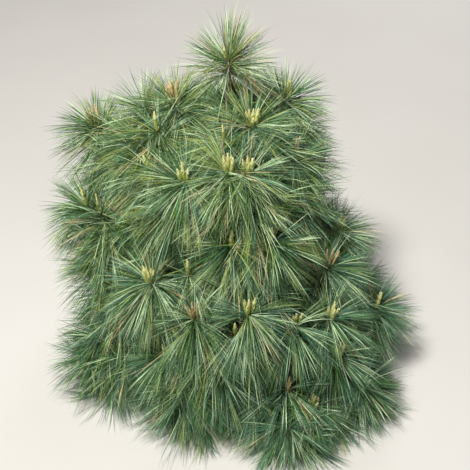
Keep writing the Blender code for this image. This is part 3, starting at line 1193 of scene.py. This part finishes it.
def candle_outline(share):
    """How wide a candle is along its length, as a share of its width."""
    arch = np.sin(np.pi * (OUTLINE_FOOT + OUTLINE_SPAN * share)) ** OUTLINE_ROUNDING
    return arch * (1.0 - OUTLINE_TAPER * share)


def candle_mesh(foot, way, lean, length, width, stretch, swelling):
    """A stretch of one candle: a slim spindle with spiral rows of scales."""
    share = np.linspace(*stretch, CANDLE_RINGS)
    bend = unit(way + lean) - way
    path = foot + np.outer(share * length, way) + np.outer(share**2 * length * CANDLE_BEND, bend)
    rows = np.sin(SCALE_ROWS * even_turns(CANDLE_SIDES)[None] + share[:, None] * SCALE_PITCH)
    relief = SCALE_RELIEF * rows * (1 - share[:, None] * SCALE_FADING) + swelling
    radii = np.maximum(candle_outline(share) * width / 2, LEAST_RADIUS)
    return tube(path, radii, CANDLE_SIDES, relief)


def candle_flakes(foot, way, length, width, rng):
    """Narrow papery scales that stand along a candle's sides."""
    along = (np.arange(FLAKES) + 0.5) / FLAKES
    ring = round_about(way, np.arange(FLAKES) * GOLDEN_ANGLE)
    out = candle_outline(along) * width / 2
    feet = foot + way * (along * length * FLAKES_REACH)[:, None] + ring * out[:, None]
    ways = unit(way + ring * FLAKE_OPENING + rng.normal(0, FLAKE_STRAY, (FLAKES, 3)))
    lengths = rng.uniform(*FLAKE_LENGTHS, FLAKES)
    widths = rng.uniform(*FLAKE_WIDTHS, FLAKES)
    return blades(rng, feet, ways, lengths, widths, np.zeros(FLAKES))


def bud_scales(shoot, rng):
    """Short brown scales round a shoot's tip."""
    count = SCALES_UNDER_CANDLES if shoot.candles else SCALES_ON_TIPS
    ways = unit(shoot.axis + rng.normal(0, SCALE_OPENING, (count, 3)))
    feet = shoot.tip - shoot.axis * SCALE_DEPTH + ways * SCALE_OFFSET
    lengths = rng.uniform(*SCALE_LENGTHS, count)
    widths = rng.uniform(*SCALE_WIDTHS, count)
    return blades(rng, feet, ways, lengths, widths, np.zeros(count))


def cluster_of(shoot, sizes, rng):
    """The candles at a shoot's tip: one in the middle and the rest round it."""
    upright = unit(STAND_UP * UP + FOLLOW_SHOOT * shoot.axis)
    start = rng.random() * 2 * math.pi
    tallest = sizes.candle_length * KINDS[shoot.kind].tallness
    if shoot.rank == "leader":
        tallest *= LEADER_TALLNESS
    made = []
    for k in range(shoot.candles):
        way, foot, length = upright, shoot.tip, tallest
        if k > 0:
            angle = start + k * 2 * math.pi / (shoot.candles - 1) + rng.normal(0, CLUSTER_NOISE)
            ring = round_about(upright, angle)[0]
            way = unit(upright + ring * rng.uniform(*OUTER_LEANS))
            foot = shoot.tip + ring * CLUSTER_RADIUS
            length = tallest * rng.uniform(*OUTER_LENGTHS)
        made.append((foot, way, length * rng.uniform(*CANDLE_LENGTHS)))
    return made


class PINE_OT_candles(bpy.types.Operator):
    """Sets the clusters of new candles on the shoot tips, with their bud scales"""

    bl_idname = "pine.candles"
    bl_label = "Candles"

    def execute(self, context):
        sizes, colours, _ = settings()
        grown = {name: [] for name in CANDLE_FINISHES}
        for shoot in plan_crown(sizes):
            kind = KINDS[shoot.kind]
            rng = np.random.default_rng(shoot_seed(shoot, CANDLE_SALT))
            for foot, way, length in cluster_of(shoot, sizes, rng):
                width = sizes.candle_width * rng.uniform(*CANDLE_WIDTHS) * kind.width
                lean = np.random.default_rng(int(rng.integers(1 << 30))).normal(0, CANDLE_LEAN, 3)
                body = candle_mesh(foot, way, lean, length, width, BODY_STRETCH, 0.0)
                tip = candle_mesh(foot, way, lean, length, width, TIP_STRETCH, TIP_SWELLING)
                flakes = candle_flakes(foot, way, length, width, rng)
                grown[f"candles_{shoot.kind}"].append(body)
                grown[f"candle_tips_{kind.shade}"].append(tip)
                grown[f"candle_flakes_{kind.shade}"].append(flakes)
            grown["bud_scales"].append(bud_scales(shoot, rng))
        for name, parts in grown.items():
            one, other, share, other_share, scale, roughness = CANDLE_FINISHES[name]
            one, other = getattr(colours, one), getattr(colours, other)
            pair = mixed(one, other, share), mixed(one, other, other_share)
            material = speckled_material(name, *pair, scale, roughness)
            grown_piece(name, parts, material)
        return {"FINISHED"}


# Shed needles and resin

# Bundles of shed needles tried on each mass, how low they hang at least, and how far inside the
# skin. They hang down and a little outwards, each its own way, and their needles part and droop.
SHED_SALT = 900
SHED_TRIES = 2
SHED_LOWEST = 0.04
SHED_INSET = 0.050
SHED_DOWN = 0.9
SHED_OUT = 0.2
SHED_STRAY = 0.6
SHED_PARTING = 0.07
SHED_DROOP = 0.1
SHED_LENGTHS = (0.45, 0.75)

# Resin: its two ends on the leader, its line's points, sides and sway, how far out on the wood it
# lies, how thick it is, what its beads add, the pace of sway and beads, and the drop at its foot
RESIN_TOP = 0.585
RESIN_FOOT = 0.535
RESIN_POINTS = 26
RESIN_SIDES = 8
RESIN_SWAY = 0.0009
RESIN_OUT = 0.95
RESIN_GIRTH = 0.0007
RESIN_BEADS = 0.0004
SWAY_PACE = 330
BEAD_PACE = 500
RESIN_DROP = np.array([1.3, 1.5, 1.3, 0.6])


class PINE_OT_litter(bpy.types.Operator):
    """Hangs shed, brown bundles of needles in the crown, as the tufts hold them"""

    bl_idname = "pine.litter"
    bl_label = "Shed needles"

    def execute(self, context):
        sizes, colours, _ = settings()
        rng = np.random.default_rng(sizes.seed + SHED_SALT)
        parts = []
        for mass in [mass for mass in all_masses() for _ in range(SHED_TRIES)]:
            corner = mass.corners[rng.integers(len(mass.corners))]
            out = unit(corner * LEVEL)
            if (corner - mass.middle) @ out < 0 or corner[2] < SHED_LOWEST:
                continue
            way = unit(rng.normal(0, SHED_STRAY, 3) + out * SHED_OUT - UP * SHED_DOWN)
            ways = unit(way + rng.normal(0, SHED_PARTING, (BUNDLE, 3)))
            feet = np.tile(corner - out * SHED_INSET, (BUNDLE, 1))
            lengths = sizes.needle_length * rng.uniform(*SHED_LENGTHS, BUNDLE)
            widths = np.full(BUNDLE, sizes.needle_width)
            parts.append(blades(rng, feet, ways, lengths, widths, np.full(BUNDLE, SHED_DROOP)))
        light = mixed(colours.dead_brown, colours.straw, 0.6)
        material = needle_material("shed_needle", colours.dead_brown, light, 0.9)
        grown_piece("shed_needles", parts, material)
        return {"FINISHED"}


class PINE_OT_resin(bpy.types.Operator):
    """Runs a dried streak of resin down the front of the leader"""

    bl_idname = "pine.resin"
    bl_label = "Resin"

    def execute(self, context):
        _, colours, _ = settings()
        centres, radii = trunk_line()
        heights = np.linspace(RESIN_TOP, RESIN_FOOT, RESIN_POINTS)
        path = np.stack([np.interp(heights, centres[:, 2], centres[:, k]) for k in range(3)], 1)
        path[:, 0] += RESIN_SWAY * np.sin(heights * SWAY_PACE)
        path[:, 1] -= RESIN_OUT * np.interp(heights, centres[:, 2], radii)
        girth = RESIN_GIRTH + RESIN_BEADS * np.sin(heights * BEAD_PACE) ** 2
        girth[-len(RESIN_DROP):] *= RESIN_DROP
        crust = mixed(colours.resin, colours.crust, 0.6)
        material = speckled_material("resin", colours.resin, crust, scale=600.0, roughness=0.35)
        grown_piece("resin_streak", [tube(path, girth, RESIN_SIDES)], material)
        return {"FINISHED"}


# Stage

FLOOR_HALF = 8.0
KEY_PLACE = (-0.80, -1.30, 3.1)
KEY_SIZE = 0.5
BACK_PLACE = (1.0, 2.6, 1.5)
BACK_SIZE = 1.2
LAMP_AIM = Vector((0.0, 0.0, 0.3))
KEY_COLOUR = (1.0, 0.985, 0.95)
SKY_COLOUR = (1.0, 0.98, 0.88, 1.0)
WHITE = (1.0, 1.0, 1.0)
PHOTO_WIDTH = 470.0


class PINE_OT_stage(bpy.types.Operator):
    """Sets the floor, the soft light and the camera"""

    bl_idname = "pine.stage"
    bl_label = "Stage"

    def execute(self, context):
        _, _, stage = settings()
        self.add_floor(stage)
        self.add_light(stage)
        self.add_camera(stage)
        return {"FINISHED"}

    def add_floor(self, stage):
        corners = np.array([(-1, -1, 0), (1, -1, 0), (1, 1, 0), (-1, 1, 0)]) * FLOOR_HALF
        faces = np.array([(0, 1, 2), (0, 2, 3)])
        colour = tuple(stage.floor_colour)
        paler = mixed(colour, WHITE, 0.05)
        material = speckled_material("floor", colour, paler, scale=3.0, roughness=0.9)
        floor = mesh_object("floor", corners, faces, material, smooth=False)

    def add_light(self, stage):
        scene = bpy.context.scene
        scene.view_settings.view_transform = "Standard"
        scene.world = scene.world or bpy.data.worlds.new("studio")
        scene.world.use_nodes = True
        sky = scene.world.node_tree.nodes["Background"]
        sky.inputs["Color"].default_value = SKY_COLOUR
        sky.inputs["Strength"].default_value = stage.fill_strength
        key = self.add_lamp("key", KEY_PLACE, KEY_SIZE, stage.key_power)
        key.color = KEY_COLOUR
        self.add_lamp("back", BACK_PLACE, BACK_SIZE, stage.back_power)

    def add_lamp(self, name, place, size, power):
        lamp = bpy.data.lights.new(name, "AREA")
        lamp.energy = power
        lamp.size = size
        hung = bpy.data.objects.new(name, lamp)
        hung.location = place
        hung.rotation_euler = (LAMP_AIM - hung.location).to_track_quat("-Z", "Y").to_euler()
        bpy.context.scene.collection.objects.link(hung)
        return lamp

    def add_camera(self, stage):
        data = bpy.data.cameras.new("camera")
        data.sensor_width = 36.0
        data.lens = stage.focal_pixels / PHOTO_WIDTH * data.sensor_width
        camera = bpy.data.objects.new("camera", data)
        back = Vector((0.0, -math.cos(stage.elevation), math.sin(stage.elevation)))
        camera.location = Vector((0.0, 0.0, stage.focus_height)) + back * stage.distance
        camera.rotation_euler = (-back).to_track_quat("-Z", "Y").to_euler()
        bpy.context.scene.collection.objects.link(camera)
        bpy.context.scene.camera = camera


class PINE_PT_panel(bpy.types.Panel):
    """Lists the sizes, the colours and the steps"""

    bl_idname = "PINE_PT_panel"
    bl_label = "White pine"
    bl_space_type = "VIEW_3D"
    bl_region_type = "UI"
    bl_category = "Pine"

    def draw(self, context):
        for group in settings():
            box = self.layout.box()
            for name in group.__annotations__:
                box.prop(group, name)
        for operator in OPERATORS:
            self.layout.operator(operator.bl_idname)


OPERATORS = (
    PINE_OT_stage,
    PINE_OT_trunk,
    PINE_OT_boughs,
    PINE_OT_twigs,
    PINE_OT_needles,
    PINE_OT_candles,
    PINE_OT_litter,
    PINE_OT_resin,
)
GROUPS = {"pine_sizes": PineSizes, "pine_colours": PineColours, "pine_stage": PineStage}


def register():
    for name, group in GROUPS.items():
        bpy.utils.register_class(group)
        setattr(bpy.types.Scene, name, PointerProperty(type=group))
    for cls in (*OPERATORS, PINE_PT_panel):
        bpy.utils.register_class(cls)


def unregister():
    for cls in reversed((*OPERATORS, PINE_PT_panel)):
        bpy.utils.unregister_class(cls)
    for name, group in GROUPS.items():
        delattr(bpy.types.Scene, name)
        bpy.utils.unregister_class(group)


def main():
    register()
    bpy.ops.pine.stage()
    bpy.ops.pine.trunk()
    bpy.ops.pine.boughs()
    bpy.ops.pine.twigs()
    bpy.ops.pine.needles()
    bpy.ops.pine.candles()
    bpy.ops.pine.litter()
    bpy.ops.pine.resin()


if __name__ == "__main__":
    main()
